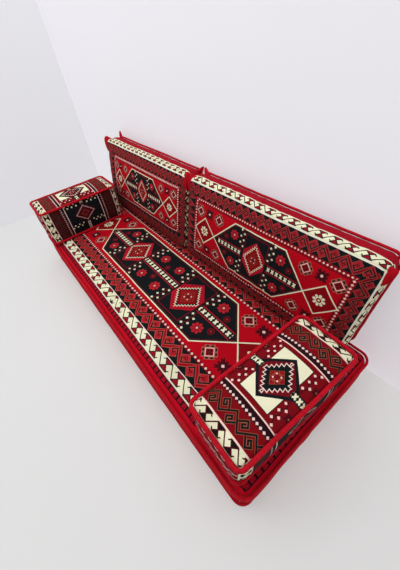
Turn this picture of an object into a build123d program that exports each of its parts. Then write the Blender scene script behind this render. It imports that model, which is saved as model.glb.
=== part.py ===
from build123d import *
import math
import os

# Majlis floor sofa: a long seat mattress, two back cushions that lean back,
# and two arm cushions that lie loose on the seat.
# All lengths are in millimetres. X runs along the sofa, Y from the front
# to the wall, Z up. The part is centred over the floor.

# Cover, the same on every cushion
band_thickness = 12.0
cover_to_foam_gap = 0.3
rest_gap = 0.3
piping_radius = 5.5
piping_seat_gap = 0.7
piping_sides = 8
crown_steps = 3
crown_corner_share = 0.5

# Seat mattress
seat_length = 1876.0
seat_depth = 700.0
seat_height = 220.0
seat_corner_radius = 34.0
seat_top_crown = 24.0
seat_top_crown_width = 80.0
seat_bottom_crown = 12.0
seat_bottom_crown_width = 26.0
seat_band_bulge = 10.0

# Arm cushions
arm_width = 200.0
arm_height = 232.0
arm_corner_radius = 16.0
arm_top_crown = 11.0
arm_top_crown_width = 34.0
arm_bottom_crown = 12.0
arm_bottom_crown_width = 22.0
arm_band_bulge = 8.0
left_arm_to_seat_end = 14.0
right_arm_to_seat_end = 31.0
left_arm_to_seat_front = 4.0
right_arm_to_seat_front = 17.0
arm_to_seat_rear = 220.0
arm_length = seat_depth - left_arm_to_seat_front - arm_to_seat_rear
left_arm_turn_degrees = 0.0
right_arm_turn_degrees = -2.5

# Back cushions
left_back_width = 846.0
right_back_width = 924.0
back_height = 425.0
back_thickness = 102.0
back_corner_radius = 30.0
back_front_crown = 26.0
back_front_crown_width = 120.0
back_rear_crown = 12.0
back_rear_crown_width = 60.0
back_band_bulge = 8.0
back_lean_degrees = 11.0
back_foot_to_seat_rear = 141.5
back_pair_turn_degrees = 1.8
back_joint_to_middle = 84.0

# Corner ears of the back cushions, the folded tips left by the box corners
outer_front_ear_length = 22.0
inner_front_ear_length = 10.0
front_ear_root_height = 88.0
front_ear_tip_height = 34.0
front_ear_root_thickness = 26.0
front_ear_tip_thickness = 12.0
front_ear_sunk = 22.0
rear_ear_length = 34.0
rear_ear_belly_radius = 9.5
rear_ear_tip_radius = 5.0
rear_ear_lean_degrees = 16.0
ear_sides = 8
ear_mid_share = 0.55
ear_mid_size_share = 0.8

# Zip: tape with its coil, slider and pull tab
tape_width = 28.0
tape_thickness = 1.2
tape_to_cover_gap = 0.3
coil_neck_width = 2.0
coil_neck_height = 1.0
coil_head_width = 5.0
coil_head_height = 1.6
slider_length = 13.0
slider_width = 9.6
slider_wall = 1.2
slider_running_gap = 0.3
lug_thickness = 1.6
lug_length = 4.4
lug_height = 5.2
hinge_pin_radius = 0.9
hinge_running_gap = 0.25
eye_wall = 1.1
pull_length = 16.0
pull_width = 5.6
pull_thickness = 1.4
pull_hole_width = 2.6
pull_hole_length = 7.0
end_stop_length = 3.0
seat_zip_length = 1200.0
back_zip_length = 640.0
back_zip_height = 96.0
arm_zip_length = 128.0


def section(length, depth, corner, inset, level, skew):
    """Rounded outline of a cushion at one level. Skew lifts its lower edge."""
    lift = -level * skew
    rise = depth - lift - inset - inset
    return Pos(0, lift / 2, level) * RectangleRounded(length - inset - inset, rise, corner)


def crown(length, depth, corner, seam, rise, width, skew):
    """Domed panel of a cushion, from its seam plane to its flat middle."""
    outlines = []
    for step in range(crown_steps + 1):
        share = step / crown_steps
        level = seam + rise * math.sin(math.pi / 2 * share)
        radius = corner * (1 - share * crown_corner_share)
        outlines.append(section(length, depth, radius, width * share, level, skew))
    return loft(outlines)


def block(length, depth, corner, low, high, inset, skew):
    """Straight-sided block between two seam planes."""
    radius = corner - inset
    lower = section(length, depth, radius, inset, low, skew)
    upper = section(length, depth, radius, inset, high, skew)
    return loft([lower, upper], ruled=True)


def band(length, depth, corner, low, high, bulge, skew):
    """Side of a cushion, a little fuller at half height than at its seams."""
    middle = (low + high) / 2
    return loft([
        section(length, depth, corner, 0, low, skew),
        section(length, depth, corner, -bulge, middle, skew),
        section(length, depth, corner, 0, high, skew),
    ])


def piping(length, depth, corner, level, skew):
    """Corded piping round a cushion at one of its seams."""
    reach = piping_radius + piping_seat_gap
    path = section(length, depth, corner + reach, -reach, level, skew).wire()
    start = Plane(origin=path @ 0, z_dir=path % 0)
    return sweep(start * RegularPolygon(piping_radius, piping_sides), path=path)


def box_cushion(length, depth, height, corner, top, top_width, bottom, bottom_width, bulge):
    """Foam, three padded cover panels and two pipings, standing on its base."""
    low = bottom
    high = height - top
    size = (length, depth, corner)
    foam_inset = band_thickness + cover_to_foam_gap
    foam_low = low + cover_to_foam_gap
    foam_high = high - cover_to_foam_gap
    return {
        "foam_core": block(*size, foam_low, foam_high, foam_inset, 0),
        "top_panel": crown(*size, high, top, top_width, 0),
        "side_band": band(*size, low, high, bulge, 0) - block(*size, low, high, band_thickness, 0),
        "bottom_panel": crown(*size, low, -bottom, bottom_width, 0),
        "upper_piping": piping(*size, high, 0),
        "lower_piping": piping(*size, low, 0),
    }


def oval(width, tall):
    points = []
    for step in range(ear_sides):
        turn = 2 * math.pi * (step + 1 / 2) / ear_sides
        points.append((width / 2 * math.cos(turn), tall / 2 * math.sin(turn)))
    return Polygon(*points, align=None)


def front_ear(width, side, length):
    """Folded flap at a top front corner, pointing outwards."""
    root = side * (width / 2 - front_ear_sunk)
    reach = front_ear_sunk + length
    centre = back_height / 2 - front_ear_root_height / 2
    outlines = []
    for share, size in ((0, 1), (ear_mid_share, ear_mid_size_share), (1, 0)):
        tall = front_ear_tip_height + (front_ear_root_height - front_ear_tip_height) * size
        thick = front_ear_tip_thickness + (front_ear_root_thickness - front_ear_tip_thickness) * size
        where = Plane(origin=(root + side * reach * share, centre, -thick / 2), z_dir=(side, 0, 0))
        outlines.append(where * oval(thick, tall))
    return loft(outlines, ruled=True)


def rear_ear(width, side):
    """Twisted tip of the piping, standing up at a top rear corner."""
    reach = piping_radius + piping_seat_gap
    along = (back_corner_radius + reach) * math.cos(math.pi / 4) - back_corner_radius
    lean = math.radians(rear_ear_lean_degrees)
    stations = ((0, piping_radius), (ear_mid_share, rear_ear_belly_radius), (1, rear_ear_tip_radius))
    outlines = []
    for share, radius in stations:
        out = rear_ear_length * share
        x = width / 2 + along + out * math.sin(lean)
        y = back_height / 2 + along + out * math.cos(lean)
        facing = (side * math.sin(lean), math.cos(lean), 0)
        where = Plane(origin=(side * x, y, -back_thickness), x_dir=(0, 0, 1), z_dir=facing)
        outlines.append(where * RegularPolygon(radius, ear_sides))
    return loft(outlines, ruled=True)


def back_cushion(width, outer):
    """Back cushion facing up, its lower side cut to stand level.

    Outer is -1 or 1: the end that is free. The other end meets its neighbour.
    """
    skew = math.tan(math.radians(back_lean_degrees))
    size = (width, back_height, back_corner_radius)
    foam_inset = band_thickness + cover_to_foam_gap
    foam_low = cover_to_foam_gap - back_thickness
    cover = band(*size, -back_thickness, 0, back_band_bulge, skew)
    cover = cover + crown(*size, 0, back_front_crown, back_front_crown_width, skew)
    cord = piping(*size, -back_thickness, skew)
    cover = cover + front_ear(width, outer, outer_front_ear_length)
    cover = cover + front_ear(width, -outer, inner_front_ear_length)
    cord = cord + rear_ear(width, outer) + rear_ear(width, -outer)
    return {
        "foam_core": block(*size, foam_low, -cover_to_foam_gap, foam_inset, skew),
        "front_cover": cover - block(*size, -back_thickness, 0, band_thickness, skew),
        "rear_panel": crown(*size, -back_thickness, -back_rear_crown, back_rear_crown_width, skew),
        "rear_piping": cord,
    }


def zip_tape(length):
    """Tape with its closed coil and end stops, on the XY plane, facing +Z."""
    neck_top = tape_thickness + coil_neck_height
    head_middle = neck_top + coil_head_height / 2
    coil_length = length - end_stop_length
    tape = Pos(0, 0, tape_thickness / 2) * Box(length, tape_width, tape_thickness)
    neck = Pos(0, 0, tape_thickness + coil_neck_height / 2)
    head = Pos(0, 0, head_middle) * Box(coil_length, coil_head_width, coil_head_height)
    tape = tape + neck * Box(coil_length, coil_neck_width, coil_neck_height) + head
    for end in (-1, 1):
        stop = Pos(end * (length - end_stop_length) / 2, 0, (tape_thickness + neck_top + coil_head_height) / 2)
        tape = tape + stop * Box(end_stop_length, slider_width, neck_top + coil_head_height - tape_thickness)
    return tape


def slider_top():
    head_top = tape_thickness + coil_neck_height + coil_head_height
    return head_top + slider_running_gap + slider_wall


def zip_slider():
    """Slider that runs along the coil, with two lugs and the hinge pin."""
    gap = slider_running_gap
    base = tape_thickness + gap
    top = slider_top()
    body = Pos(0, 0, (base + top) / 2) * Box(slider_length, slider_width, top - base)
    neck_top = tape_thickness + coil_neck_height
    neck_width = coil_neck_width + gap + gap
    head_width = coil_head_width + gap + gap
    head_low = neck_top - gap
    head_high = neck_top + coil_head_height + gap
    body = body - Pos(0, 0, (base + head_low) / 2) * Box(slider_length, neck_width, head_low - base)
    body = body - Pos(0, 0, (head_low + head_high) / 2) * Box(slider_length, head_width, head_high - head_low)
    for end in (-1, 1):
        lug_y = end * (slider_width - lug_thickness) / 2
        lug = Pos(0, lug_y, top + lug_height / 2) * Box(lug_length, lug_thickness, lug_height)
        body = body + lug
    pin = Pos(0, 0, pin_level()) * Rot(90, 0, 0) * Cylinder(hinge_pin_radius, slider_width - lug_thickness)
    return body + pin


def pin_level():
    return slider_top() + lug_height / 2


def pull_tab():
    """Pull tab with its eye round the slider's pin, lying along +X."""
    bore = hinge_pin_radius + hinge_running_gap
    eye_radius = bore + eye_wall
    eye_width = slider_width - lug_thickness * 2 - hinge_running_gap * 2
    turn = Pos(0, 0, pin_level()) * Rot(90, 0, 0)
    plate = Pos(pull_length / 2, 0, pin_level()) * Box(pull_length, pull_width, pull_thickness)
    hole_x = pull_length - pull_hole_length
    hole = Pos(hole_x, 0, pin_level()) * Box(pull_hole_length, pull_hole_width, pull_thickness)
    tab = turn * Cylinder(eye_radius, eye_width) + plate - hole
    return tab - turn * Cylinder(bore, slider_width)


def slider_rest(length):
    """Slider against the stop at the zip's closed end, on the -X side."""
    return end_stop_length - length / 2 + slider_length / 2 + slider_running_gap


def zip_pieces(length):
    rest = Pos(slider_rest(length), 0, 0)
    return {
        "zip_tape": zip_tape(length),
        "zip_slider": rest * zip_slider(),
        "zip_pull_tab": rest * pull_tab(),
    }


def add(parts, name, pieces, place):
    for piece, shape in pieces.items():
        parts[name + "_" + piece] = place * shape


def rear_face(x, y, level):
    """Plane on a rear face: its own x along -X, its y up, facing the wall."""
    return Plane(origin=(x, y, level), x_dir=(-1, 0, 0), z_dir=(0, 1, 0))


parts = {}
joints = []

# Seat mattress, its base on the floor
seat = box_cushion(
    seat_length, seat_depth, seat_height, seat_corner_radius, seat_top_crown,
    seat_top_crown_width, seat_bottom_crown, seat_bottom_crown_width, seat_band_bulge,
)
add(parts, "seat", seat, Pos(0, 0, 0))
seat_band_middle = (seat_bottom_crown + seat_height - seat_top_crown) / 2
seat_zip = rear_face(0, seat_depth / 2 + seat_band_bulge + tape_to_cover_gap, seat_band_middle)
add(parts, "seat", zip_pieces(seat_zip_length), seat_zip)
joints.append(("seat", seat_zip, seat_zip_length))

# Arm cushions, loose on the seat
arm = box_cushion(
    arm_width, arm_length, arm_height, arm_corner_radius, arm_top_crown,
    arm_top_crown_width, arm_bottom_crown, arm_bottom_crown_width, arm_band_bulge,
)
arm_z = seat_height + rest_gap
arm_band_middle = (arm_bottom_crown + arm_height - arm_top_crown) / 2
left_arm_x = left_arm_to_seat_end + arm_width / 2 - seat_length / 2
right_arm_x = seat_length / 2 - right_arm_to_seat_end - arm_width / 2
for name, arm_x, arm_front, turn in (
    ("left_arm", left_arm_x, left_arm_to_seat_front, left_arm_turn_degrees),
    ("right_arm", right_arm_x, right_arm_to_seat_front, right_arm_turn_degrees),
):
    arm_y = arm_front + arm_length / 2 - seat_depth / 2
    place = Pos(arm_x, arm_y, arm_z) * Rot(0, 0, turn)
    add(parts, name, arm, place)
    print(name, "middle", place.position)
    arm_rear = arm_length / 2 + arm_band_bulge + tape_to_cover_gap
    arm_zip = Plane(place * rear_face(0, arm_rear, arm_band_middle).location)
    add(parts, name, zip_pieces(arm_zip_length), arm_zip)
    joints.append((name, arm_zip, arm_zip_length))

# Back cushions, standing on the seat and leaning back
lean = math.radians(back_lean_degrees)
foot_z = seat_height + rest_gap + (piping_radius + piping_radius + piping_seat_gap) * math.cos(lean)
foot_y = seat_depth / 2 - back_foot_to_seat_rear
back_to_back_gap = 2 * (piping_radius + piping_radius + piping_seat_gap + rest_gap)
feet = {}
pair_turn = Pos(-back_joint_to_middle, foot_y, 0) * Rot(0, 0, back_pair_turn_degrees)
for name, width, side in (("left_back", left_back_width, -1), ("right_back", right_back_width, 1)):
    back_x = side * (width + back_to_back_gap) / 2
    middle_y = math.sin(lean) * back_height / 2
    middle_z = foot_z + math.cos(lean) * back_height / 2
    facing = (0, -math.cos(lean), math.sin(lean))
    stand = Plane(origin=(back_x, middle_y, middle_z), x_dir=(1, 0, 0), z_dir=facing)
    add(parts, name, back_cushion(width, side), pair_turn * stand.location)
    feet[name] = pair_turn * Pos(back_x, 0, foot_z)
    zip_depth = back_thickness + back_rear_crown + tape_to_cover_gap
    zip_rise = back_zip_height - back_height / 2
    zip_y = middle_y + math.sin(lean) * zip_rise + math.cos(lean) * zip_depth
    zip_z = middle_z + math.cos(lean) * zip_rise - math.sin(lean) * zip_depth
    away = (0, math.cos(lean), -math.sin(lean))
    back_zip = Plane(origin=(back_x, zip_y, zip_z), x_dir=(-1, 0, 0), z_dir=away)
    back_zip = Plane(pair_turn * back_zip.location)
    add(parts, name, zip_pieces(back_zip_length), back_zip)
    joints.append((name, back_zip, back_zip_length))

# Centre the whole sofa over the floor and write each piece
whole = Compound(children=[Compound(shape.solids()) for shape in parts.values()])
box = whole.bounding_box()
centring = Pos(-(box.min.X + box.max.X) / 2, -(box.min.Y + box.max.Y) / 2, 0)
os.makedirs("parts", exist_ok=True)
for name, shape in parts.items():
    export_step(centring * Compound(shape.solids()), "parts/" + name + ".step")

print("centring", centring.position)
print("box", box.size, box.min, box.max)
for name, foot in feet.items():
    print(name, "foot", (centring * foot).position)
for name, plane, length in joints:
    pin = centring * (plane * Pos(slider_rest(length), 0, pin_level()))
    print(name, "pin", pin.position, "tape axis", plane.x_dir, "upright", plane.y_dir)
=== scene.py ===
import math

import bmesh
import bpy
from mathutils import Matrix, Vector, noise


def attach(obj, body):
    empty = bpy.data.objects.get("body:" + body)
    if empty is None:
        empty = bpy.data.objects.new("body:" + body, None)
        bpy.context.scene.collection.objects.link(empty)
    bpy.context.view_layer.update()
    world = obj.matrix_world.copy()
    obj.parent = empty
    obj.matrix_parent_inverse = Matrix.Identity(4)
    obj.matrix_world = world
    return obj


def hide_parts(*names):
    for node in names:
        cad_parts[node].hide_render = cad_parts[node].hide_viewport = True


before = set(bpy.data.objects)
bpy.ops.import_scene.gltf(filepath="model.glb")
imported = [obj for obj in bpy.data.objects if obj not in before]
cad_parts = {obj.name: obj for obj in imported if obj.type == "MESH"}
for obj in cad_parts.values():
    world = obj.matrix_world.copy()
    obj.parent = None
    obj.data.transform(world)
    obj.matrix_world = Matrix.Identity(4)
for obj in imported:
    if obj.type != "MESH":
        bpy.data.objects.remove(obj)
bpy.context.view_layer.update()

# Places and sizes of the cushions, in metres, as the part's source has them
LEAN = math.radians(11)
SKEW = math.tan(LEAN)
SEAT_X, SEAT_Y = 0.0082721, -0.0346319
FOOT_Z = 0.231785
ARM_Z = 0.2203
ARMS = {"left_arm": (-0.824, -0.108, 0.0), "right_arm": (0.807, -0.095, math.radians(-2.5))}
BACKS = {"left_back": (-0.435, 0.423), "right_back": (0.474, 0.462)}
PIPING = 0.0055
PIPING_OUT = 0.0062
# Half the length and width of a cushion as it is cut, the levels of its two seams, and its corner radius
SEAT_HALF, SEAT_SEAMS, SEAT_CORNER = (0.938, 0.35), (0.012, 0.196), 0.034
ARM_HALF, ARM_SEAMS, ARM_CORNER = (0.1, 0.238), (0.012, 0.221), 0.016
BACK_HALF_HIGH, BACK_SEAMS, BACK_CORNER = 0.2125, (-0.102, 0.0), 0.03
seat_place = Matrix.Translation((SEAT_X, SEAT_Y, 0))
pair_place = seat_place @ Matrix.Translation((-0.084, 0.2085, 0)) @ Matrix.Rotation(math.radians(1.8), 4, "Z")


# ---------------------------------------------------------------- colours

def dye(code):
    """Linear colour of a yarn written as a hex code."""
    parts = [int(code[i:i + 2], 16) / 255 for i in (0, 2, 4)]
    return tuple([c / 12.92 if c <= 0.04045 else ((c + 0.055) / 1.055) ** 2.4 for c in parts] + [1.0])


BRIGHT_RED = dye("BE0A20")
FIELD_RED = dye("B8061A")
DEEP_RED = dye("8A0A14")
WINE = dye("6E0C18")
RUBY = dye("961224")
CRIMSON = dye("A00A1E")
ROSE_RED = dye("AE1228")
BRICK = dye("B4222A")
TAN = dye("A85C4C")
OCHRE = dye("96543A")
ORANGE = dye("BE4430")
CREAM = dye("EAE8C6")
PINK_WHITE = dye("F3CFC4")
INK = dye("14181B")
SOOT = dye("161214")
PLUM = dye("280C14")
GREY_PINK = dye("C6A8A6")
STAR_DARK = dye("4A0C16")


# ---------------------------------------------------------------- material maths

class Yarn:
    """A number that changes over the cloth: a node's socket with Python's operators."""

    def __init__(self, loom, socket):
        self.loom = loom
        self.socket = socket

    def __add__(self, other):
        return self.loom.math("ADD", self, other)

    __radd__ = __add__

    def __sub__(self, other):
        return self.loom.math("SUBTRACT", self, other)

    def __rsub__(self, other):
        return self.loom.math("SUBTRACT", other, self)

    def __mul__(self, other):
        return self.loom.math("MULTIPLY", self, other)

    __rmul__ = __mul__

    def __truediv__(self, other):
        return self.loom.math("DIVIDE", self, other)

    def __abs__(self):
        return self.loom.math("ABSOLUTE", self)

    def __lt__(self, other):
        return self.loom.math("LESS_THAN", self, other)

    def __gt__(self, other):
        return self.loom.math("GREATER_THAN", self, other)

    def __and__(self, other):
        return self.loom.math("MULTIPLY", self, other)

    def __or__(self, other):
        return self.loom.math("MAXIMUM", self, other)


class Loom:
    """One material under making: its nodes, and the colour painted so far."""

    def __init__(self, name, ground):
        self.material = bpy.data.materials.new(name)
        self.material.use_nodes = True
        self.tree = self.material.node_tree
        self.tree.nodes.clear()
        self.colour = ground

    def node(self, kind, settings=None, values=None):
        made = self.tree.nodes.new(kind)
        for key, value in (settings or {}).items():
            setattr(made, key, value)
        for key, value in (values or {}).items():
            value = value.socket if isinstance(value, Yarn) else value
            if isinstance(value, bpy.types.NodeSocket):
                self.tree.links.new(value, made.inputs[key])
            else:
                made.inputs[key].default_value = value
        return made

    def math(self, operation, *values):
        made = self.node("ShaderNodeMath", {"operation": operation}, dict(enumerate(values)))
        return Yarn(self, made.outputs[0])

    def repeat(self, value, pitch):
        return self.math("WRAP", value, pitch / 2, -pitch / 2)

    def near(self, value, centre, half):
        return self.math("COMPARE", value, centre, half)

    def smaller(self, one, other):
        return self.math("MINIMUM", one, other)

    def larger(self, one, other):
        return self.math("MAXIMUM", one, other)

    def blend_colour(self, share, base, colour, way="MIX"):
        settings = {"data_type": "RGBA", "blend_type": way}
        return self.node("ShaderNodeMix", settings, {0: share, 6: base, 7: colour}).outputs[2]

    def paint(self, mask, colour):
        self.colour = self.blend_colour(mask, self.colour, colour)

    def rings(self, distance, *steps):
        """Paints fields that lie inside one another, from the outer one in."""
        for edge, colour in steps:
            self.paint(distance < edge, colour)

    def box(self, x, y, at, half):
        return self.near(x, at[0], half[0]) & self.near(y, at[1], half[1])

    def petals(self, x, y):
        """Distance from a flower's middle, and how far its eight petals swell there."""
        r = self.math("SQRT", x * x + y * y)
        return r, abs(self.math("COSINE", self.math("ARCTAN2", y, x) * 4))

    def speckle(self, place, scale, detail=2.0):
        made = self.node("ShaderNodeTexNoise", {}, {"Vector": place, "Scale": scale, "Detail": detail})
        return Yarn(self, made.outputs[0])

    def split(self, vector):
        made = self.node("ShaderNodeSeparateXYZ", {}, {0: vector})
        return [Yarn(self, out) for out in made.outputs]

    def cloth_place(self):
        """Place on the cloth as it was cut, in metres, from the panel's middle."""
        return self.node("ShaderNodeUVMap", {"uv_map": "cloth"}).outputs[0]

    def object_place(self):
        return self.node("ShaderNodeTexCoord").outputs["Object"]

    def finish(self, roughness, height, depth, shine=0.5, metallic=0.0):
        """Surface with its colour, gloss and relief; height is a Yarn, depth its metres."""
        bump = self.node("ShaderNodeBump", {}, {"Strength": 1.0, "Distance": depth, "Height": height})
        surface = self.node("ShaderNodeBsdfPrincipled", {}, {
            "Base Color": self.colour, "Roughness": roughness, "Metallic": metallic, "Normal": bump.outputs[0],
            "Specular IOR Level": shine})
        self.node("ShaderNodeOutputMaterial", {}, {0: surface.outputs[0]})
        return self.material


# ---------------------------------------------------------------- kilim motifs

# Each border's sizes are written for one cushion, at these pitches, and scale with the pitch
HOOK_PITCH = 0.0805
KEY_CELL = 0.05725
THIN_KEY_CELL = 0.03625
DIAGONAL = 0.7071
ARM_DOT_PITCH = 0.0277
ARM_RUNG_PITCH = 0.0155


def hook_band(loom, along, across, pitch, phase, fill, ink=INK, thick=1.0):
    """Running border: hourglasses with hooks, joined by slanting lines."""
    s = pitch / HOOK_PITCH
    tall = 0.0228 * s
    half = 0.003 * thick * s
    x = loom.repeat(along - phase, pitch)
    y = across * loom.math("SIGN", x)
    x = abs(x)
    off = abs(y)
    loom.paint((x < off) & (off < tall), fill)
    cross = loom.near(x, off, half) & (off < tall)
    bars = loom.near(off, tall, 0.0021 * s) & (x < 0.0205 * s)
    slant = loom.near(x + y * 0.947, pitch / 2, half) & loom.near(y, 0.011 * s, 0.0132 * s)
    hook = loom.near(x - y * 0.92, 0.0375 * s, half) & loom.near(y, -0.0166 * s, 0.0064 * s)
    loom.paint(cross | bars | slant | hook, ink)


def key_band(loom, along, across, cell, phase, edge, middle, core):
    """Running border: a broad ribbon of key spirals, every second one turned over."""
    k = cell / KEY_CELL
    x = loom.repeat(along - phase, 2 * cell)
    turn = loom.math("SIGN", x)
    s = x - turn * (cell / 2)
    t = across * turn
    inside = (0.0385 * k - abs(s) * 0.9 - abs(t)) * 0.743
    rising = abs(s * 1.03 - t - 0.0124 * k) * 0.6966
    falling = loom.larger(abs(s * 1.286 + t + 0.0194 * k) * 0.614, (t - 0.0025 * k) * 0.8)
    stroke = falling + (rising - falling) * (s > -0.003 * k)
    clear = loom.smaller(stroke - 0.0032 * k, inside)
    loom.paint(clear > 0, edge)
    loom.paint(clear > 0.0018 * k, middle)
    ribbon = abs(s + 0.003 * k) * 1.1 - t > 0.0155 * k
    loom.paint(loom.near(clear, 0.0068 * k, 0.0017 * k) & ribbon, core)
    p, q = (s + t) * DIAGONAL, (s - t) * DIAGONAL
    curl = (loom.box(p, q, (-0.0016 * k, -0.0127 * k), (0.0088 * k, 0.0021 * k))
            | loom.box(p, q, (0.0058 * k, -0.0068 * k), (0.0021 * k, 0.0072 * k))
            | loom.box(p, q, (0.0128 * k, -0.0055 * k), (0.0014 * k, 0.0135 * k)))
    loom.paint(curl & (inside > 0.0035 * k), STAR_DARK)


# Lines of one square spiral, as the spans of the boxes that they fill
KEY_LINES = [((-0.00764, 0.00764), (-0.00764, -0.00764)), ((-0.00764, -0.00764), (-0.00764, 0.00764)),
             ((-0.00764, 0.0186), (0.00764, 0.00764)), ((0.0073, 0.0073), (-0.00764, 0.0)),
             ((-0.001, 0.0073), (0.0, 0.0))]


def thin_key_band(loom, along, across, cell, ink, thread):
    """Running border of the arms: a thin zigzag line with square spirals, turned about the middle."""
    k = cell / THIN_KEY_CELL
    x = loom.repeat(along * loom.math("SIGN", along - 0.018 * k) * -1.0 - cell / 2, 2 * cell)
    turn = loom.math("SIGN", x)
    s = x - turn * (cell / 2)
    t = across * turn * -1.0
    ridge = abs(t + abs(s) * 0.92 - 0.0167 * k) * 0.736
    p = (s + t + 0.0108 * k) * DIAGONAL
    q = (s - t - 0.0108 * k) * DIAGONAL
    for colour, half in ((thread, 0.0037 * k), (ink, 0.0025 * k)):
        mask = ridge < half
        for (p0, p1), (q0, q1) in KEY_LINES:
            mask = mask | loom.box(p, q, ((p0 + p1) / 2 * k, (q0 + q1) / 2 * k),
                                   ((p1 - p0) / 2 * k + half, (q1 - q0) / 2 * k + half))
        loom.paint(mask, colour)


def dot_row(loom, along, across, pitch, reach, colour):
    loom.paint(abs(loom.repeat(along, pitch)) + abs(across) < reach, colour)


def rosette(loom, x, y, size):
    """Eight-petalled flower with a pale heart."""
    r, lobes = loom.petals(x, y)
    loom.paint(r < (lobes * 0.3 + 0.7) * size, BRICK)
    loom.paint(loom.near(r, size * 0.5, size * 0.13) & (lobes < 0.55), WINE)
    loom.paint(r < size * 0.3, WINE)
    loom.paint(abs(x) + abs(y) < size * 0.2, PINK_WHITE)


def square_rosette(loom, x, y, size):
    """Small flower in a pale diamond, with hooked petals round it."""
    reach = abs(x) + abs(y)
    apart = abs(abs(x) - abs(y))
    loom.paint((reach < size * 1.42) & (apart < size * 0.95), TAN)
    hooks = (reach < size * 1.3) & (reach > size * 0.98) & (apart > size * 0.16) & (apart < size * 0.72)
    loom.paint(hooks, INK)
    loom.rings(reach, (size * 0.82, PINK_WHITE), (size * 0.68, DEEP_RED))
    loom.paint((reach < size * 0.42) & (apart > size * 0.1), INK)


def small_star(loom, x, y, size, heart):
    """Eight-pointed star with notched tips and a pale dot."""
    ax, ay = abs(x), abs(y)
    far, close = loom.larger(ax, ay), loom.smaller(ax, ay)
    apart = far - close
    cross = (apart < size * 0.36) & (far < size * 0.92) & (apart > (far - size * 0.62) * 0.6)
    stem = (close < size * 0.17) & (far < size * 0.86)
    loom.paint(cross | stem, INK)
    loom.paint((cross & (apart < size * 0.28)) | (stem & (close < size * 0.1)), STAR_DARK)
    loom.paint(ax + ay < size * 0.26, heart)


def stepped_diamond(loom, x, y, half, width, step, outline, inside):
    """Zigzag outline round a diamond."""
    ax, ay = abs(x) * (1 / half[0]), abs(y) * (1 / half[1])
    wave = loom.math("PINGPONG", abs(x) - abs(y) + 1.0, step)
    reach = half[0] * 0.84
    loom.rings((ax + ay) * half[0] * 0.84 - wave, (reach, outline), (reach - width, inside))


def medallion(loom, x, y, plan):
    """Framed diamond with its zigzag outline, dots at its sides and four dots inside."""
    ax, ay = abs(x), abs(y)
    fw, fh = plan["frame"]
    w, h = plan["diamond"]
    line = plan["thin"]
    upright = loom.near(ax, fw, line / 2) & (ay < fh + line / 2)
    loom.paint(upright | (loom.near(ay, fh, line / 2) & (ax < fw)), WINE)
    loom.paint((ax / w + ay / h < 1) & (ax < fw), ROSE_RED)
    zw, zh = plan["zigzag"]
    stepped_diamond(loom, x, y, (zw, zh), plan["line"], plan["step"], CREAM, plan["ring"])
    inner = ax / zw + ay / zh
    loom.rings(inner, (0.86, DEEP_RED), (0.62, dye("94261E")), (0.52, dye("82181C")))
    gap = plan["dots"]
    loom.paint(loom.near(abs(ax - gap), abs(ay - gap), line * 0.3) & (inner < 0.52), ORANGE)
    loom.paint(loom.near(ax, ay, line * 0.4) & (ax < gap * 1.3), INK)
    loom.paint(abs(ax - gap) + abs(ay - gap) < gap * 0.36, PINK_WHITE)
    # two columns of dots at each side, on a wavy line
    column, outer, pitch, first = plan["columns"]
    reach = plan["dot"]
    count = plan["rows"] * pitch
    wave = loom.math("PINGPONG", ay, pitch / 2) * 0.5 + ((column + outer) / 2 - pitch / 8)
    loom.paint(loom.near(ax, wave, line * 0.42) & (ay > first * 0.6) & (ay < first + count), WINE)
    near_row = abs(ax - column) + abs(loom.repeat(ay - first, pitch)) < reach
    far_row = abs(ax - outer) + abs(loom.repeat(ay - first - pitch / 2, pitch)) < reach
    loom.paint(near_row & (ay > first - reach) & (ay < first + count - pitch / 2), CREAM)
    loom.paint(far_row & (ay > first) & (ay < first + count), CREAM)


def long_field(loom, a, b, plan):
    """Hexagon with its medallions and flowers, and the small diamonds beyond its tips.

    a and b are the distances from the middle along and across the cloth.
    """
    tip, line, flower = plan["tip"], plan["line"], plan["flower"]
    # corner ornaments on the red field
    for at_a, at_b in plan["corner_flowers"]:
        square_rosette(loom, a - at_a, b - at_b, flower * 1.1)
    for at_a, at_b in plan["stars"]:
        small_star(loom, a - at_a, b - at_b, flower * 1.05, PINK_WHITE)
    # small diamonds beyond the tips
    half = plan["end_diamond"]
    x = a - (tip + half)
    loom.rings(abs(x) + b, (half + line * 0.7, CREAM), (half - line * 0.7, DEEP_RED))
    r, lobes = loom.petals(x, b)
    loom.paint((r < (lobes * 0.3 + 0.7) * (half * 0.37)) & ((r < half * 0.2) | (lobes > 0.4)), CREAM)
    loom.rings(r, (half * 0.15, DEEP_RED), (half * 0.06, CREAM))
    # the hexagon
    edge = loom.larger(b - plan["tall"], (a + b - tip) * 0.707)
    loom.rings(edge, (line / 2, CREAM), (-line / 2, INK))
    loom.paint(loom.near(edge, -line * 1.5, line * 0.22), WINE)
    # flowers on the black
    for at_a, at_b in plan["flowers"]:
        rosette(loom, a - at_a, b - at_b, flower)
    for at_a, at_b in plan["dim_flowers"]:
        x, y = a - at_a, b - at_b
        size = flower * 0.55
        loom.rings(loom.math("SQRT", x * x + y * y), (size, WINE), (size * 0.62, INK), (size * 0.3, BRICK))
    # ladder of pale crosses along the middle
    pitch, wide, high = plan["ladder"]
    x = abs(loom.repeat(a - plan["ladder_phase"], pitch))
    on = None
    for start, stop in plan["ladder_runs"]:
        run = loom.near(a, (start + stop) / 2, (stop - start) / 2)
        on = run if on is None else on | run
    loom.paint(loom.near(b, high * 0.86, high * 0.1) & on, ROSE_RED)
    cross = ((x < wide / 2) & (b < high / 2) & ((b > high * 0.16) | (x < wide * 0.32))
             & ((b < high * 0.4) | (x > wide * 0.14)))
    loom.paint(cross & on, CREAM)
    for at_a in plan["medallions"]:
        medallion(loom, a - at_a if at_a else a, b, plan)


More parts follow.
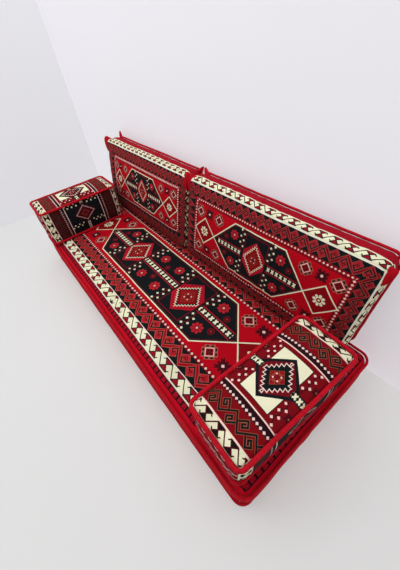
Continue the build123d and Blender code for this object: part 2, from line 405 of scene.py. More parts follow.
# Places and sizes in the two long fields, as distances from the middle along and across. "columns" has the
# places of the two columns of dots, the pitch of the dots and the first one's place, and "ladder" has its
# pitch, and the width and height of a cross.
SEAT_PLAN = {
    "tip": 0.596, "tall": 0.148, "line": 0.006, "thin": 0.005, "end_diamond": 0.09,
    "corner_flowers": [(0.549, 0.116), (0.752, 0.12)], "stars": [(0.632, 0.118)],
    "flower": 0.031, "flowers": [(0.0665, 0.081), (0.42, 0.081)],
    "dim_flowers": [(0.0, 0.048), (0.477, 0.048)],
    "ladder": (0.0275, 0.018, 0.024), "ladder_phase": 0.0137,
    "ladder_runs": [(-0.01, 0.151), (0.342, 0.558)],
    "medallions": [0.246], "frame": (0.083, 0.124), "diamond": (0.13, 0.11),
    "zigzag": (0.074, 0.078), "step": 0.011, "dots": 0.0125, "ring": INK,
    "columns": (0.1, 0.126, 0.035, 0.044), "dot": 0.0075, "rows": 3,
}
BACK_PLAN = {
    "tip": 0.244, "tall": 0.115, "line": 0.005, "thin": 0.0035, "end_diamond": 0.0665,
    "corner_flowers": [(0.222, 0.09), (0.346, 0.09)], "stars": [(0.285, 0.094)],
    "flower": 0.0235, "flowers": [(0.121, 0.067)],
    "dim_flowers": [(0.165, 0.042)],
    "ladder": (0.0205, 0.013, 0.018), "ladder_phase": 0.0,
    "ladder_runs": [(0.07, 0.215)],
    "medallions": [0.0], "frame": (0.0575, 0.1), "diamond": (0.0845, 0.085),
    "zigzag": (0.0475, 0.0635), "step": 0.0085, "dots": 0.0085, "ring": DEEP_RED,
    "columns": (0.068, 0.085, 0.0285, 0.036), "dot": 0.0058, "rows": 3,
}


def woven(loom, place, u, v, stitch, roughness=0.82, depth=0.0014, shine=0.06, extra=None):
    """Surface of woven cloth: its yarns, slight unevenness of the dye, and small waves of the padding, with
    painted light and shade that make the colour lighter on the raised parts and darker in the hollows.
    """
    warp = loom.math("SINE", u * (2 * math.pi / stitch))
    weft = loom.math("SINE", v * (2 * math.pi / stitch))
    yarns = (warp * weft) * 0.5 + 0.5
    shade = loom.speckle(place, 9.0, 3.0)
    fibres = loom.speckle(place, 420.0, 1.0)
    # uneven dye and painted light and shade: the colour follows the same noises and yarns that raise the
    # relief, lighter on the raised yarns and padding waves and darker in their hollows
    dye_and_relief_shade = (shade - 0.5) * 0.34 + (fibres - 0.5) * 0.3 + yarns * 0.06 + 0.985
    loom.colour = loom.blend_colour(1.0, loom.colour, dye_and_relief_shade, "MULTIPLY")
    height = yarns * 0.25 + fibres * 0.3 + shade * 1.4
    return loom.finish(roughness, height if extra is None else height + extra, depth, shine)


def seat_kilim():
    loom = Loom("seat_kilim", BRIGHT_RED)
    place = loom.cloth_place()
    u, v = loom.split(place)[:2]
    # the weave is a little longer towards the left end, and its border a little narrower than the field
    u = u + loom.smaller(u + 0.25, 0.0) * 0.08
    a = abs(u + 0.042)
    b = abs(v - 0.004)
    turned = a - 0.632
    c = loom.larger(b, turned)
    c = c + loom.larger(c - 0.1755, 0.0) * 0.064
    along = a + (b - a) * (turned > b)
    loom.paint(c < 0.3472, CRIMSON)
    loom.paint(loom.near(loom.repeat(along - 0.006, 0.0273), 0.0, 0.004) & (c > 0.3272), PLUM)
    loom.paint(loom.near(c, 0.3452, 0.0018), PLUM)
    loom.paint(c > 0.347, BRIGHT_RED)
    loom.rings(c, (0.3272, INK), (0.3232, PINK_WHITE), (0.3195, CREAM))
    hook_band(loom, along, 0.2923 - c, HOOK_PITCH, 0.0705, RUBY)
    loom.rings(c, (0.2665, PINK_WHITE), (0.2635, INK))
    key_band(loom, along, 0.2218 - c, KEY_CELL, 0.0208, TAN, BRICK, DEEP_RED)
    loom.rings(c, (0.184, DEEP_RED), (0.169, FIELD_RED))
    dot_row(loom, along - 0.0025, c - 0.1755, 0.0219, 0.0088, WINE)
    dot_row(loom, along - 0.0025, c - 0.1755, 0.0219, 0.0066, PINK_WHITE)
    long_field(loom, a, b, SEAT_PLAN)
    return woven(loom, place, u, v, 0.0022, depth=0.0016)


def back_kilim(name, centre, size, fold, tuck):
    """Cloth of one back, whose pattern isn't in the cover's middle, with its border taken up in the folds.

    centre and size are the pattern's. Beyond fold, at the joint of the backs, the cloth is tucked in by tuck.
    """
    loom = Loom(name, CRIMSON)
    place = loom.cloth_place()
    u, v = loom.split(place)[:2]
    x = (u - centre[0]) * (1 / size)
    a = abs(x)
    b = loom.smaller(abs(v - centre[1]) * (1 / size), loom.larger(v * -1.0 - 0.12, 0.0) * 0.55 + 0.148)
    b = b + (v - b) * (v > 0.139)
    turned = a - 0.24
    turned = turned - loom.larger(turned - 0.145, 0.0) * 0.7 * (x < 0.0) + (u > fold) * tuck
    c = loom.larger(b, turned)
    along = a + (b - a) * (turned > b)
    loom.paint(loom.near(loom.repeat(along, 0.0182), 0.0, 0.0028) & loom.near(c, 0.259, 0.005), DEEP_RED)
    loom.rings(c, (0.2475, DEEP_RED), (0.2445, PINK_WHITE), (0.2425, CREAM))
    hook_band(loom, along, 0.2225 - c, 0.0535, 0.0, RUBY, thick=1.3)
    loom.rings(c, (0.202, dye("F0E8DC")), (0.1985, INK))
    key_band(loom, along, 0.1725 - c, 0.0385, 0.0, dye("8A4A3E"), dye("A2222A"), dye("640C14"))
    loom.paint(c < 0.148, DEEP_RED)
    dot_row(loom, along, c - 0.139, 0.0142, 0.0052, PINK_WHITE)
    loom.rings(c, (0.131, WINE), (0.127, FIELD_RED))
    long_field(loom, a, b, BACK_PLAN)
    if tuck:
        wave = loom.math("PINGPONG", v, 0.02) * 0.8
        loom.paint((u > fold) & loom.near(u - fold, wave, 0.0042), INK)
    return woven(loom, place, u, v, 0.002)


def arm_bands(loom, along, c, ground, thread, line):
    """Borders across both ends of an arm cushion."""
    loom.paint(c > 0.11, PINK_WHITE)
    loom.paint(c > 0.1142, PLUM)
    loom.paint(c > 0.1262, ground)
    notch = abs(loom.repeat(along + 0.00665, 0.0133))
    loom.paint(loom.near(c, 0.131, 0.0052) & (notch + (0.0048 - abs(c - 0.131)) < 0.0062), INK)
    dot_row(loom, along, c - 0.131, 0.0133, 0.005, line)
    loom.paint(c > 0.138, ground)
    thin_key_band(loom, along, (0.1695 - c) * 0.9, THIN_KEY_CELL, INK, thread)
    loom.paint(c > 0.1995, line)
    loom.paint(c > 0.2033, CREAM)
    hook_band(loom, abs(along), 0.2208 - c, 0.0525, 0.0, SOOT, dye("4A0E18"), thick=1.3)


def arm_dots(loom, x, y, columns, reach, length, colour):
    """Two columns of dots at each side of an arm's medallion, each given by its place and its first dot."""
    for column, first in columns:
        row = loom.repeat(y - first, ARM_DOT_PITCH)
        loom.paint((abs(x - column) + abs(row) < reach) & (y > first - 0.006) & (y < first + length), colour)


def arm_rungs(step, y):
    """Pale crosses of an arm's ladder; step is the distance from a cross's middle along the ladder."""
    return (step < 0.006) & (y < 0.009) & ((y > 0.003) | (step < 0.004))


def arm_kilim():
    loom = Loom("arm_kilim", dye("780A14"))
    place = loom.cloth_place()
    u, v = loom.split(place)[:2]
    x, y = abs(u), abs(v)
    # dots and broken flowers at the sides
    arm_dots(loom, x, y, ((0.0635, 0.034), (0.0775, 0.048)), 0.005, 0.061, PINK_WHITE)
    wave = loom.math("PINGPONG", y, 0.0138) * 0.5 + 0.067
    loom.paint(loom.near(x, wave, 0.0014) & (y > 0.02) & (y < 0.104), PLUM)
    small_star(loom, x - 0.096, y - 0.056, 0.014, TAN)
    # pale square with the black diamond
    loom.paint((x < 0.0545) & (y < 0.096), INK)
    loom.paint((x < 0.0525) & (y < 0.094), CREAM)
    loom.rings(x + y, (0.086, INK), (0.073, WINE))
    stepped_diamond(loom, u, v, (0.043, 0.0585), 0.0042, 0.0103, dye("F0D8CA"), INK)
    inner = x + y * 0.84
    loom.rings(inner, (0.0275, dye("8A3A1C")), (0.025, dye("8C101C")))
    weft = abs(x - y * 0.84)
    loom.paint((inner < 0.025) & (loom.near(weft, 0.0085, 0.0009) | loom.near(inner, 0.0145, 0.0009)), OCHRE)
    loom.paint(loom.near(x, y * 0.84, 0.0012) & (inner < 0.025), INK)
    loom.paint(abs(x - 0.0085) + abs(y - 0.0085) < 0.0034, PINK_WHITE)
    # ladder to both sides
    loom.paint((y < 0.0135) & loom.near(x, 0.08, 0.0245), INK)
    step = abs(loom.repeat(x - 0.067, ARM_RUNG_PITCH))
    loom.paint(arm_rungs(step, y) & ((y < 0.0065) | (step > 0.0018)) & (x > 0.057) & (x < 0.105), CREAM)
    arm_bands(loom, u, y, dye("7C0A14"), OCHRE, PINK_WHITE)
    return woven(loom, place, u, v, 0.002)


def arm_side_kilim():
    """Cloth of an arm's band: the kilim on its two long faces, painted as a darker copy of the top's kilim for
    the shade on the arm's sides, and stripes on its two ends.
    """
    # painted shade: the long faces take the top's motifs in darker colours, on a black ground, for the shade
    # on the arm's sides
    loom = Loom("arm_side_kilim", INK)
    place = loom.cloth_place()
    u, v = loom.split(place)[:2]
    y = abs(v - 0.005)
    level = abs(u) - ARM_HALF[0] - 0.084
    high = abs(level)
    arm_dots(loom, high, y, ((0.06, 0.036), (0.0745, 0.05)), 0.006, 0.062, CREAM)
    inner = high * 1.2 + y
    loom.paint(inner < 0.078, dye("3A0810"))
    stepped_diamond(loom, level, v - 0.005, (0.047, 0.0575), 0.0042, 0.006, GREY_PINK, dye("4A0C14"))
    loom.paint(inner < 0.032, dye("6E1418"))
    loom.paint(loom.near(high, y * 0.84, 0.0016) & (inner < 0.034), INK)
    loom.paint(loom.near(inner, 0.024, 0.0012), dye("8A4A3E"))
    step = abs(loom.repeat(high - 0.055, ARM_RUNG_PITCH))
    loom.paint(arm_rungs(step, y) & (high > 0.06), dye("CFC8B4"))
    # painted shade: the end borders in darker colours than on the arm's top
    arm_bands(loom, level, y, dye("4A1014"), dye("6E3428"), GREY_PINK)
    # the two end faces
    drop = abs(v) - ARM_HALF[1]
    end = drop > 0.0
    loom.paint(end, CRIMSON)
    stripe = abs(loom.repeat(drop - 0.03, 0.062))
    zigzag = abs(loom.math("PINGPONG", u + 1.0, 0.014) - stripe * 0.7) < 0.0028
    loom.paint(end & zigzag & (stripe < 0.02), GREY_PINK)
    loom.paint(end & (stripe > 0.025), PLUM)
    return woven(loom, place, u, v, 0.002, roughness=0.85)


PLAIN_STITCH = 0.0018


def plain_cloth(name, colour, second):
    """Plain woven cloth with a slight rib."""
    loom = Loom(name, colour)
    place = loom.object_place()
    x, y, z = loom.split(place)
    loom.paint(loom.speckle(place, 24.0, 3.0) * 0.5, second)
    return woven(loom, place, x + z, y + z, PLAIN_STITCH, roughness=0.85)


def piping_cloth():
    """Bright cord cover with the slight twist and wrinkles of bias tape, painted darker red in the wrinkles'
    hollows as shade.
    """
    loom = Loom("piping_red", BRIGHT_RED)
    place = loom.object_place()
    x, y, z = loom.split(place)
    wrinkle = loom.speckle(place, 120.0, 2.0)
    # painted shade: deep red where the wrinkle relief sinks
    loom.paint((wrinkle < 0.42) * 0.45, DEEP_RED)
    twist = loom.math("SINE", (x + y + z) * 900.0)
    return woven(loom, place, x + z, y + z, PLAIN_STITCH, roughness=0.7, depth=0.0016, shine=0.12,
                 extra=wrinkle * 1.6 + twist * 0.2)


def foam_block():
    """Open-celled polyurethane foam, its pores painted darker as the shade in them."""
    loom = Loom("foam_cells", dye("E9DFA8"))
    place = loom.object_place()
    cells = loom.node("ShaderNodeTexVoronoi", {}, {"Vector": place, "Scale": 260.0})
    pores = Yarn(loom, cells.outputs["Distance"])
    # painted shade: darker colour in the pores, where the relief sinks
    loom.paint((pores < 0.22) * 0.5, dye("B9A567"))
    loom.paint(loom.speckle(place, 6.0) * 0.35, dye("D8C98C"))
    return loom.finish(0.95, pores + loom.speckle(place, 40.0), 0.002)


def zip_metal():
    """Brushed alloy, dulled in spots by use."""
    loom = Loom("zip_alloy", dye("B8B6AE"))
    place = loom.object_place()
    worn = loom.speckle(place, 180.0, 3.0)
    scratch = loom.speckle(place, 900.0, 1.0)
    loom.paint((worn > 0.58) * 0.6, dye("8B8375"))
    return loom.finish(worn * 0.3 + 0.22, scratch + worn, 0.0003, metallic=0.95)


def zip_tape_cloth():
    """Ribbed polyester tape."""
    loom = Loom("zip_tape_weave", dye("6A0A14"))
    place = loom.object_place()
    rib = loom.math("SINE", loom.split(place)[0] * 3000.0)
    loom.paint(loom.speckle(place, 60.0) * 0.5, dye("8A1420"))
    return loom.finish(0.75, rib * 0.3 + loom.speckle(place, 300.0), 0.0008)


# ---------------------------------------------------------------- shaping tools

FILL_FRAMES = 20
FILL_CAP = 0.012
BASE_SWELL = 0.012
DOME_SHARE = 0.86       # share of a dome that is modelled, before the filling adds the rest
SIDE_SHARE = 0.8
TOUCH = 1e-5
GATHER_REACH = 0.02
SEAM_WIDTH = 0.004
FLOOR_EASE = 0.004
ROOF_EASE = 0.003
GIVE = 0.0016
ZIP_GAP = 0.0008
ZIP_MARGIN = 0.006
CORD_STEP = 0.012
LUMP = 0.35
# Without a seed, noise_vector starts from the clock, and the cloth's give differs in each run
noise.seed_set(1)


def only(piece):
    bpy.ops.object.select_all(action="DESELECT")
    piece.select_set(True)
    bpy.context.view_layer.objects.active = piece


def name_it(piece, name):
    piece.name = name
    piece.data.name = name
    return piece


def block(name, low, high):
    """Cube stretched between two corners."""
    bpy.ops.object.select_all(action="DESELECT")
    size = [h - l for l, h in zip(low, high)]
    middle = [(h + l) / 2 for l, h in zip(low, high)]
    bpy.ops.mesh.primitive_cube_add(size=1, location=middle, scale=size)
    piece = name_it(bpy.context.object, name)
    bpy.ops.object.transform_apply(location=True, rotation=True, scale=True)
    return piece


def celled_box(name, low, high, cell):
    """Closed box of even cells, cut up from a cube in edit mode."""
    piece = block(name, low, high)
    for axis in range(3):
        bpy.ops.object.mode_set(mode="EDIT")
        bpy.ops.mesh.select_all(action="DESELECT")
        bpy.ops.mesh.select_mode(type="EDGE")
        work = bmesh.from_edit_mesh(piece.data)
        for edge in work.edges:
            run = edge.verts[1].co - edge.verts[0].co
            if abs(run[axis]) > 0.9 * run.length:
                edge.select_set(True)
        bmesh.update_edit_mesh(piece.data)
        cuts = max(2, round((high[axis] - low[axis]) / cell[axis])) - 1
        bpy.ops.mesh.subdivide(number_cuts=cuts)
        bpy.ops.object.mode_set(mode="OBJECT")
    return piece


def sort_panels(piece, half, high):
    """Gives each face its panel, and the place on the unrolled cloth to each corner."""
    mesh = piece.data
    layer = mesh.uv_layers.new(name="cloth")
    for face in mesh.polygons:
        n = face.normal
        face.material_index = 0 if n.z > 0.9 else 2 if n.z < -0.9 else 1
        for corner in face.loop_indices:
            x, y, z = mesh.vertices[mesh.loops[corner].vertex_index].co
            if abs(n.x) > 0.9:
                x = math.copysign(half[0] + high - z, x)
            elif abs(n.y) > 0.9:
                y = math.copysign(half[1] + high - z, y)
            layer.data[corner].uv = (x, y)


def rounded(x, y, half, corner):
    """Carries a point of a rectangle onto the rectangle with rounded corners."""
    px = (abs(x) - (half[0] - corner)) / corner
    py = (abs(y) - (half[1] - corner)) / corner
    if px <= 0 or py <= 0:
        return x, y
    share = max(px, py) / math.hypot(px, py)
    return (math.copysign(half[0] - corner + px * share * corner, x),
            math.copysign(half[1] - corner + py * share * corner, y))


def swell(distance, width):
    return math.sin(math.pi / 2 * min(1.0, max(0.0, distance) / width))


def skewed(y, drop, half):
    """Draws a back's rear up at its foot, so that the leaning cushion stands flat on the seat."""
    return y + drop * SKEW * (half[1] - y) / (2 * half[1])


def settle(point):
    """Small uneven give of the sewn cover, the same for the cloth and its piping."""
    slow = noise.noise_vector(point * 6.0)
    quick = noise.noise_vector(point * 19.0 + Vector((7.3, 1.9, 4.1)))
    return slow * GIVE + quick * GIVE * 0.55


def piece_seed(name):
    return sum(ord(letter) for letter in name) % 97 * 0.37


def tighten(piece, pins, push):
    """Fills a cover by cloth simulation with its seams held, and applies the result."""
    mesh = piece.data
    start = [v.co.copy() for v in mesh.vertices]
    group = piece.vertex_groups.new(name="seams")
    group.add(pins, 1.0, "REPLACE")
    cloth = piece.modifiers.new("filling", "CLOTH")
    settings = cloth.settings
    settings.quality = 6
    settings.mass = 0.1
    settings.vertex_group_mass = "seams"
    settings.pin_stiffness = 1.0
    settings.use_pressure = True
    settings.uniform_pressure_force = push
    settings.tension_stiffness = 12
    settings.compression_stiffness = 12
    settings.shear_stiffness = 6
    settings.bending_stiffness = 0.4
    settings.shrink_min = -0.012
    settings.effector_weights.gravity = 0
    cloth.collision_settings.use_collision = False
    cloth.point_cache.frame_start = 1
    cloth.point_cache.frame_end = FILL_FRAMES
    scene = bpy.context.scene
    for step in range(1, FILL_FRAMES + 1):
        scene.frame_set(step)
    shape = piece.evaluated_get(bpy.context.evaluated_depsgraph_get()).data
    moved = [v.co.copy() for v in shape.vertices]
    piece.modifiers.remove(cloth)
    piece.vertex_groups.remove(group)
    scene.frame_set(1)
    for vertex, old, new in zip(mesh.vertices, start, moved):
        step = new - old
        if step.length > 1e-9:
            step *= FILL_CAP * math.tanh(step.length / FILL_CAP) / step.length
        vertex.co = old + step


def cushion(name, cloths, half, seams, corner, top, top_width, low_width, bulge, cell, push, leans=False):
    """Closed padded cover in its own frame: panels domed, sides full, corners rounded."""
    bottom, high = seams
    piece = celled_box(name, (-half[0], -half[1], bottom), (half[0], half[1], high), cell)
    for material in cloths:
        piece.data.materials.append(material)
    sort_panels(piece, half, high)
    pins = []
    for vertex in piece.data.vertices:
        x, y, z = vertex.co
        edge = min(half[0] - abs(x), half[1] - abs(y))
        on_side, on_top, on_base = edge < TOUCH, high - z < TOUCH, z - bottom < TOUCH
        if on_side and (on_top or on_base):
            pins.append(vertex.index)
        nx, ny = rounded(x, y, half, corner)
        nz = z
        if on_top:
            nz = z + top * DOME_SHARE * swell(edge, top_width)
        elif on_base:
            nz = z - BASE_SWELL * DOME_SHARE * swell(edge, low_width)
        elif on_side:
            full = bulge * SIDE_SHARE * math.sin(math.pi * (z - bottom) / (high - bottom))
            way = Vector((max(0.0, abs(x) - half[0] + corner) * (1 if x > 0 else -1),
                          max(0.0, abs(y) - half[1] + corner) * (1 if y > 0 else -1)))
            if way.length > 0:
                way.normalize()
            nx, ny = nx + way.x * full, ny + way.y * full
        if leans:
            ny = skewed(ny, high - z, half)
        vertex.co = (nx, ny, nz)
    tighten(piece, pins, push)
    return piece


def pucker(piece, half, seams, amount):
    """Short folds where the cloth is gathered into the seams."""
    bottom, high = seams
    seed = piece_seed(piece.name)
    mesh = piece.data
    mesh.update()
    normals = [v.normal.copy() for v in mesh.vertices]
    for vertex, normal in zip(mesh.vertices, normals):
        x, y, z = vertex.co
        edge = min(half[0] - abs(x), half[1] - abs(y))
        gap = max(0.0, edge) if edge > SEAM_WIDTH else min(abs(z - high), abs(z - bottom))
        fade = math.exp(-gap / GATHER_REACH) * (1 - math.exp(-gap / SEAM_WIDTH))
        along = x if half[1] - abs(y) < half[0] - abs(x) else y
        wave = noise.noise(Vector((along * 38, gap * 12, z * 10 + seed)))
        slow = noise.noise(Vector((x * 4, y * 4, z * 4 + seed)))
        vertex.co += normal * (wave * amount * fade * 3 + slow * amount)


def stand_up(piece, place, floor, roof):
    """Puts a piece in its place and lets it settle between what is under it and what slides on it."""
    for vertex in piece.data.vertices:
        point = place @ vertex.co
        point += settle(point)
        if point.z < floor + FLOOR_EASE:
            point.z = floor + FLOOR_EASE * math.exp((point.z - floor - FLOOR_EASE) / FLOOR_EASE)
        if point.z > roof:
            point.z = roof + ROOF_EASE * math.tanh((point.z - roof) / ROOF_EASE)
        vertex.co = point
    piece.data.update()


def bed_zip(piece, tape, run, outward):
    """Draws the cover in under its zip, so that tape and slider lie on the cloth."""
    across = outward.cross(run)
    points = [tape.matrix_world @ v.co for v in tape.data.vertices]
    spans = [[axis.dot(point) for point in points] for axis in (run, across)]
    under = min(outward.dot(point) for point in points) - ZIP_GAP
    for vertex in piece.data.vertices:
        away = max(max(min(span) - axis.dot(vertex.co), axis.dot(vertex.co) - max(span))
                   for axis, span in zip((run, across), spans))
        over = outward.dot(vertex.co) - under - max(0.0, away - ZIP_MARGIN) * 0.6
        if 0 < over < 0.03:
            vertex.co -= outward * over
    piece.data.update()


def soften(piece):
    only(piece)
    smooth = piece.modifiers.new("soft", "SUBSURF")
    smooth.levels = smooth.render_levels = 1
    smooth.uv_smooth = "NONE"
    bpy.ops.object.modifier_apply(modifier="soft")
    bpy.ops.object.shade_smooth()


def dress(piece, material):
    piece.data.materials.clear()
    piece.data.materials.append(material)


# ---------------------------------------------------------------- cloths

kilim_of_seat = seat_kilim()
kilim_of_backs = {"left_back": back_kilim("left_back_kilim", (0.048, 0.015), 0.87, 0.423, 0.02),
                  "right_back": back_kilim("right_back_kilim", (0.016, 0.002), 1.0, 0.462, 0.0)}
kilim_of_arms = arm_kilim()
shaded_sides_of_arms = arm_side_kilim()
red_band = plain_cloth("seat_band_red", dye("BE0E1E"), dye("A00A18"))
lining = plain_cloth("lining_wine", dye("5C0E18"), dye("4A0A12"))
fold_red = plain_cloth("fold_red", dye("B40E1E"), dye("8A0A16"))
piping_red = piping_cloth()
foam_cells = foam_block()
alloy = zip_metal()
tape_weave = zip_tape_cloth()


# ---------------------------------------------------------------- pieces of a cushion

def finish_cover(piece, body, place, half, seams, gather, nodes):
    """Gathers, settles and smooths a cover, beds its zip, and says what it stands for."""
    pucker(piece, half, seams, gather)
    stand_up(piece, place, *((0.0, ARM_Z) if body == "seat" else (ARM_Z, 1.0)))
    soften(piece)
    turn = place.to_3x3()
    bed_zip(piece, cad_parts[body + "_zip_tape"], turn @ Vector((1, 0, 0)),
            turn @ Vector((0, 0, -1) if "back" in body else (0, 1, 0)))
    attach(piece, body)
    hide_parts(*[body + "_" + node for node in nodes])


def add_cord(body, word, half, corner, level, place, leans=False, lumps=False):
    """Corded piping along a seam: a bevelled curve made a mesh, with lumps at the corners of an arm."""
    name = body + "_" + word + "_cord"
    a, b, r = half[0] + PIPING_OUT, half[1] + PIPING_OUT, corner + PIPING_OUT
    points = []
    # each corner's side in x and y, where its arc starts, and the way that the cord follows after it
    for sx, sy, start, follow in ((1, 1, 0, (-1, 0, 0)), (-1, 1, 90, (0, -1, 0)),
                                  (-1, -1, 180, (1, 0, 0)), (1, -1, 270, (0, 1, 0))):
        for step in range(7):
            turn = math.radians(start + step * 15)
            x, y = sx * (a - r) + r * math.cos(turn), sy * (b - r) + r * math.sin(turn)
            points.append(Vector((x, y, level)))
        run = 2 * ((a - r) if follow[0] else (b - r))
        count = max(2, round(run / CORD_STEP))
        last = points[-1]
        for step in range(1, count):
            points.append(last + Vector(follow) * run * step / count)
    line = bpy.data.curves.new(name, "CURVE")
    line.dimensions = "3D"
    line.bevel_depth = PIPING
    line.bevel_resolution = 3
    spline = line.splines.new("POLY")
    spline.points.add(len(points) - 1)
    for number, point in enumerate(points):
        if leans:
            point.y = skewed(point.y, -level, half)
        spot = place @ point
        spot += settle(spot)
        swollen = 1 + 0.07 * noise.noise(spot * 60)
        if lumps:
            past = [max(0.0, abs(at) - edge + 0.01) for at, edge in zip(point, half)]
            swollen += LUMP * min(1.0, max(0.0, math.hypot(*past) - 0.012) / 0.006)
        spline.points[number].co = (*spot, 1)
        spline.points[number].radius = swollen
    spline.use_cyclic_u = True
    cord = bpy.data.objects.new(name, line)
    bpy.context.scene.collection.objects.link(cord)
    only(cord)
    bpy.ops.object.convert(target="MESH")
    cord = name_it(bpy.context.object, name)
    bpy.ops.object.shade_smooth()
    dress(cord, piping_red)
    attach(cord, body)
    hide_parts(body + "_" + word + "_piping")


def add_foam(body, low, high, place):
    """Foam core with softened edges, inside its cover."""
    core = block(body + "_foam", low, high)
    bpy.ops.object.mode_set(mode="EDIT")
    bpy.ops.mesh.select_all(action="SELECT")
    bpy.ops.mesh.subdivide(number_cuts=5)
    bpy.ops.object.mode_set(mode="OBJECT")
    rim = core.modifiers.new("rim", "BEVEL")
    rim.width = 0.01
    rim.segments = 3
    rim.limit_method = "ANGLE"
    bpy.ops.object.modifier_apply(modifier="rim")
    for vertex in core.data.vertices:
        vertex.co = place @ vertex.co
    core.data.update()
    bpy.ops.object.shade_smooth_by_angle(angle=math.radians(50))
    dress(core, foam_cells)
    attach(core, body)
    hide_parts(body + "_foam_core")


def add_ear(body, word, side, stations, place, material):
    """Folded corner tip: a tapered flap, flattened and bent, from a cube cut along its run.

    stations give (x, y, z, width, thickness) along the fold, and side says at which end of the back it is.
    """
    ear = celled_box(body + "_" + word, (0, -0.5, -0.5), (1, 0.5, 0.5), (1 / 12, 0.125, 0.125))
    last = len(stations) - 1
    for vertex in ear.data.vertices:
        t, across, thick = vertex.co
        spot = min(last - 1e-6, max(0.0, t) * last)
        index = int(spot)
        share = spot - index
        one, two = stations[index], stations[index + 1]
        cx, cy, cz, wide, deep = [p + (q - p) * share for p, q in zip(one, two)]
        r = max(abs(across), abs(thick)) * 2
        length = math.hypot(across, thick) or 1.0
        ax, az = across / length * r / 2, thick / length * r / 2
        point = Vector((side * cx, cy + ax * wide, cz + az * deep))
        point += noise.noise_vector(point * 30) * 0.0018
        vertex.co = place @ point
    ear.data.update()
    soften(ear)
    dress(ear, material)
    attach(ear, body)


# ---------------------------------------------------------------- seat and arms

BOX_NODES = ("top_panel", "side_band", "bottom_panel")
seat = cushion("seat_cover", (kilim_of_seat, red_band, lining), SEAT_HALF, SEAT_SEAMS, SEAT_CORNER, top=0.024,
               top_width=0.08, low_width=0.026, bulge=0.01, cell=(0.016, 0.016, 0.0155), push=3.0)
finish_cover(seat, "seat", seat_place, SEAT_HALF, SEAT_SEAMS, 0.0011, BOX_NODES)
add_foam("seat", (-0.925, -0.337, 0.0135), (0.925, 0.337, 0.1945), seat_place)
for seam, word in ((1, "upper"), (0, "lower")):
    add_cord("seat", word, SEAT_HALF, SEAT_CORNER, SEAT_SEAMS[seam], seat_place)

for name, (middle_x, middle_y, turn) in ARMS.items():
    place = seat_place @ Matrix.Translation((middle_x, middle_y, ARM_Z)) @ Matrix.Rotation(turn, 4, "Z")
    arm = cushion(name + "_cover", (kilim_of_arms, shaded_sides_of_arms, lining), ARM_HALF, ARM_SEAMS, ARM_CORNER,
                  top=0.011, top_width=0.034, low_width=0.022, bulge=0.008, cell=(0.0125, 0.0125, 0.0131),
                  push=2.2)
    finish_cover(arm, name, place, ARM_HALF, ARM_SEAMS, 0.001, BOX_NODES)
    add_foam(name, (-0.087, -0.225, 0.0135), (0.087, 0.225, 0.2195), place)
    for seam, word in ((1, "upper"), (0, "lower")):
        add_cord(name, word, ARM_HALF, ARM_CORNER, ARM_SEAMS[seam], place, lumps=True)

# ---------------------------------------------------------------- backs

REAR = BACK_SEAMS[0]
TIP_Y = 0.2
up = Vector((0, math.sin(LEAN), math.cos(LEAN)))
facing = Vector((0, -math.cos(LEAN), math.sin(LEAN)))
for name, (middle, half_width) in BACKS.items():
    half = (half_width, BACK_HALF_HIGH)
    origin = Vector((middle, 0, FOOT_Z)) + up * BACK_HALF_HIGH
    place = pair_place @ Matrix(((1, up.x, facing.x, origin.x), (0, up.y, facing.y, origin.y),
                                 (0, up.z, facing.z, origin.z), (0, 0, 0, 1)))
    kilim = kilim_of_backs[name]
    back = cushion(name + "_cover", (kilim, kilim, lining), half, BACK_SEAMS, BACK_CORNER, top=0.026,
                   top_width=0.12, low_width=0.06, bulge=0.008, cell=(0.0136, 0.0137, 0.0132), push=3.0,
                   leans=True)
    finish_cover(back, name, place, half, BACK_SEAMS, 0.0012, ("front_cover", "rear_panel"))
    add_foam(name, (0.0135 - half_width, -0.178, -0.1005), (half_width - 0.0135, 0.199, -0.0015), place)
    add_cord(name, "rear", half, BACK_CORNER, REAR, place, leans=True)
    outer = -1 if name == "left_back" else 1
    long_ear = 0.036 if outer < 0 else 0.02
    for side, length, word in ((outer, long_ear, "outer"), (-outer, 0.012, "inner")):
        # the front corner, folded in
        root = half_width - 0.022
        full = 1.0 if side < 0 or word == "inner" else 0.72
        fold = [(root - 0.016, 0.166, -0.02, 0.096 * full, 0.034),
                (root + 0.008, 0.17, -0.014, 0.1 * full, 0.04 * full),
                (root + 0.022 + length * 0.3, 0.178, -0.01, 0.092 * full, 0.034 * full),
                (root + 0.022 + length * 0.75, 0.186, -0.007, 0.07 * full, 0.026 * full),
                (root + 0.022 + length, 0.192, -0.006, 0.044 * full, 0.014)]
        add_ear(name, word + "_fold", side, fold, place, fold_red)
        # the rear corner, where the piping's ends stand up
        rise, wide = (1.0, 1.0) if word == "outer" else (0.75, 2.6)
        tip = [(half_width - 0.014 * wide, TIP_Y, REAR + 0.004, 0.024, 0.022),
               (half_width - 0.006 * wide, TIP_Y + 0.014 * rise, REAR, 0.032, 0.024),
               (half_width - 0.001 * wide, TIP_Y + 0.029 * rise, REAR, 0.028, 0.02),
               (half_width + 0.003, TIP_Y + 0.041 * rise, REAR, 0.017, 0.014)]
        add_ear(name, word + "_tip", side, tip, place, piping_red)

# ---------------------------------------------------------------- zips

for name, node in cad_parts.items():
    if name.endswith("zip_slider") or name.endswith("zip_pull_tab"):
        dress(node, alloy)
    elif name.endswith("zip_tape"):
        dress(node, tape_weave)

# ---------------------------------------------------------------- room, lights, camera

WALL_Y = 0.2035
SIDE_WALL_X = -1.72
ROOM_REACH = 9
ROOM_HIGH = 4


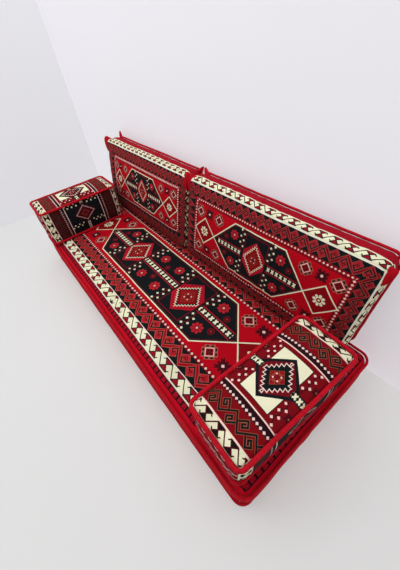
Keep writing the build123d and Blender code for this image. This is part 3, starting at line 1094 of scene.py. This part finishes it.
def pale_room(name, colour, second, glow):
    """Pale floor or wall, seen only from the room's side, with part of its light its own."""
    loom = Loom(name, dye(colour))
    loom.paint(loom.speckle(loom.object_place(), 1.4, 3.0) * 0.4, dye(second))
    surface = loom.node("ShaderNodeBsdfPrincipled", {}, {
        "Base Color": loom.colour, "Roughness": 0.85, "Specular IOR Level": 0.1,
        "Emission Color": loom.colour, "Emission Strength": glow})
    clear = loom.node("ShaderNodeBsdfTransparent")
    behind = loom.node("ShaderNodeNewGeometry").outputs["Backfacing"]
    mixed = loom.node("ShaderNodeMixShader", {}, {0: behind, 1: surface.outputs[0], 2: clear.outputs[0]})
    loom.node("ShaderNodeOutputMaterial", {}, {0: mixed.outputs[0]})
    return loom.material


def stage_sheet(name, corners, material):
    bpy.ops.object.select_all(action="DESELECT")
    bpy.ops.mesh.primitive_plane_add(size=1)
    sheet = name_it(bpy.context.object, name)
    for vertex, corner in zip(sheet.data.vertices, corners):
        vertex.co = corner
    sheet.data.update()
    sheet.data.materials.append(material)


def wall_corners(near, far):
    return [(x, z) for z in (0, ROOM_HIGH) for x in (near, far)]


stage_sheet("floor", [(x, y, 0) for y in (-ROOM_REACH, ROOM_REACH) for x in (-ROOM_REACH, ROOM_REACH)],
            pale_room("pale_floor", "B9B9B8", "B3B3B2", 0.62))
stage_sheet("wall", [pair_place @ Vector((x, WALL_Y, z)) for x, z in wall_corners(-ROOM_REACH, ROOM_REACH)],
            pale_room("pale_wall", "C2C1C5", "BEBDC1", 0.75))
stage_sheet("side_wall", [(SIDE_WALL_X, y, z) for y, z in wall_corners(-ROOM_REACH, 0.6)],
            pale_room("pale_side_wall", "BDBDC0", "B9B9BC", 0.68))


def lamp(name, place, target, size, power):
    light = bpy.data.lights.new(name, "AREA")
    light.shape = "SQUARE"
    light.size = size
    light.energy = power
    shine = bpy.data.objects.new(name, light)
    shine.location = place
    shine.rotation_euler = (Vector(target) - Vector(place)).to_track_quat("-Z", "Y").to_euler()
    bpy.context.scene.collection.objects.link(shine)


lamp("window", (-2.2, -2.3, 2.6), (-0.2, 0.1, 0.2), size=1.8, power=48)
lamp("ceiling", (0.1, -0.5, 3.4), (0, 0, 0.2), size=2.4, power=56)
world = bpy.data.worlds.new("room_light")
world.use_nodes = True
sky = world.node_tree.nodes["Background"]
sky.inputs["Color"].default_value = (1.0, 1.0, 1.0, 1.0)
sky.inputs["Strength"].default_value = 0.38
bpy.context.scene.world = world
bpy.context.scene.view_settings.view_transform = "Standard"

lens = bpy.data.cameras.new("photo_view")
lens.sensor_width = 36
lens.lens = 16.88
camera = bpy.data.objects.new("photo_view", lens)
camera.location = seat_place @ Vector((0.965, -0.43318, 1.22))
camera.rotation_euler = [math.radians(angle) for angle in (43.2695, 4.5887, 50.8471)]
bpy.context.scene.collection.objects.link(camera)
bpy.context.scene.camera = camera
